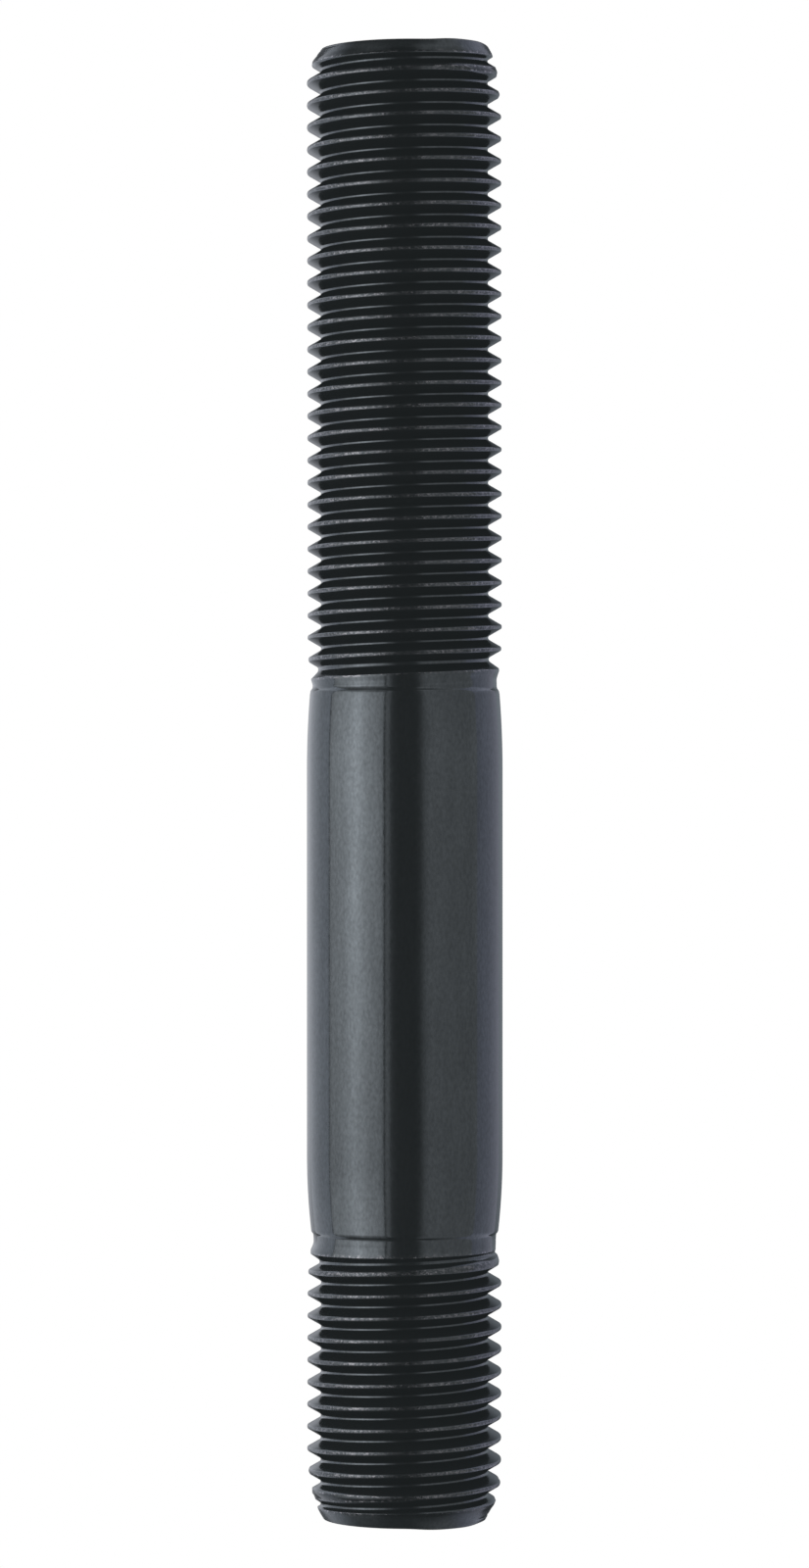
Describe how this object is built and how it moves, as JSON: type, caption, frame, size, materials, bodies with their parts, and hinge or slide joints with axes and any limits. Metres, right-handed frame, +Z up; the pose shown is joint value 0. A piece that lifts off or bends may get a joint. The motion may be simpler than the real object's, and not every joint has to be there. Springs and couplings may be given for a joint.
{
  "type": "double-ended stud",
  "caption": "One-piece double-ended stud of black steel: a long right-hand thread, a plain shank and a short right-hand thread.",
  "frame": {"origin": "centre of the short end's face, on the surface the stud stands on", "axes": "+Z up along the stud, from the short threaded end to the long one; -Y is the side seen from the front"},
  "size_m": [0.022, 0.022, 0.1665],
  "materials": {
    "black_oxide_steel": "black oxide, satin, lightly oiled"
  },
  "bodies": {
    "root": {"stud": "black_oxide_steel"}
  },
  "joints": []
}
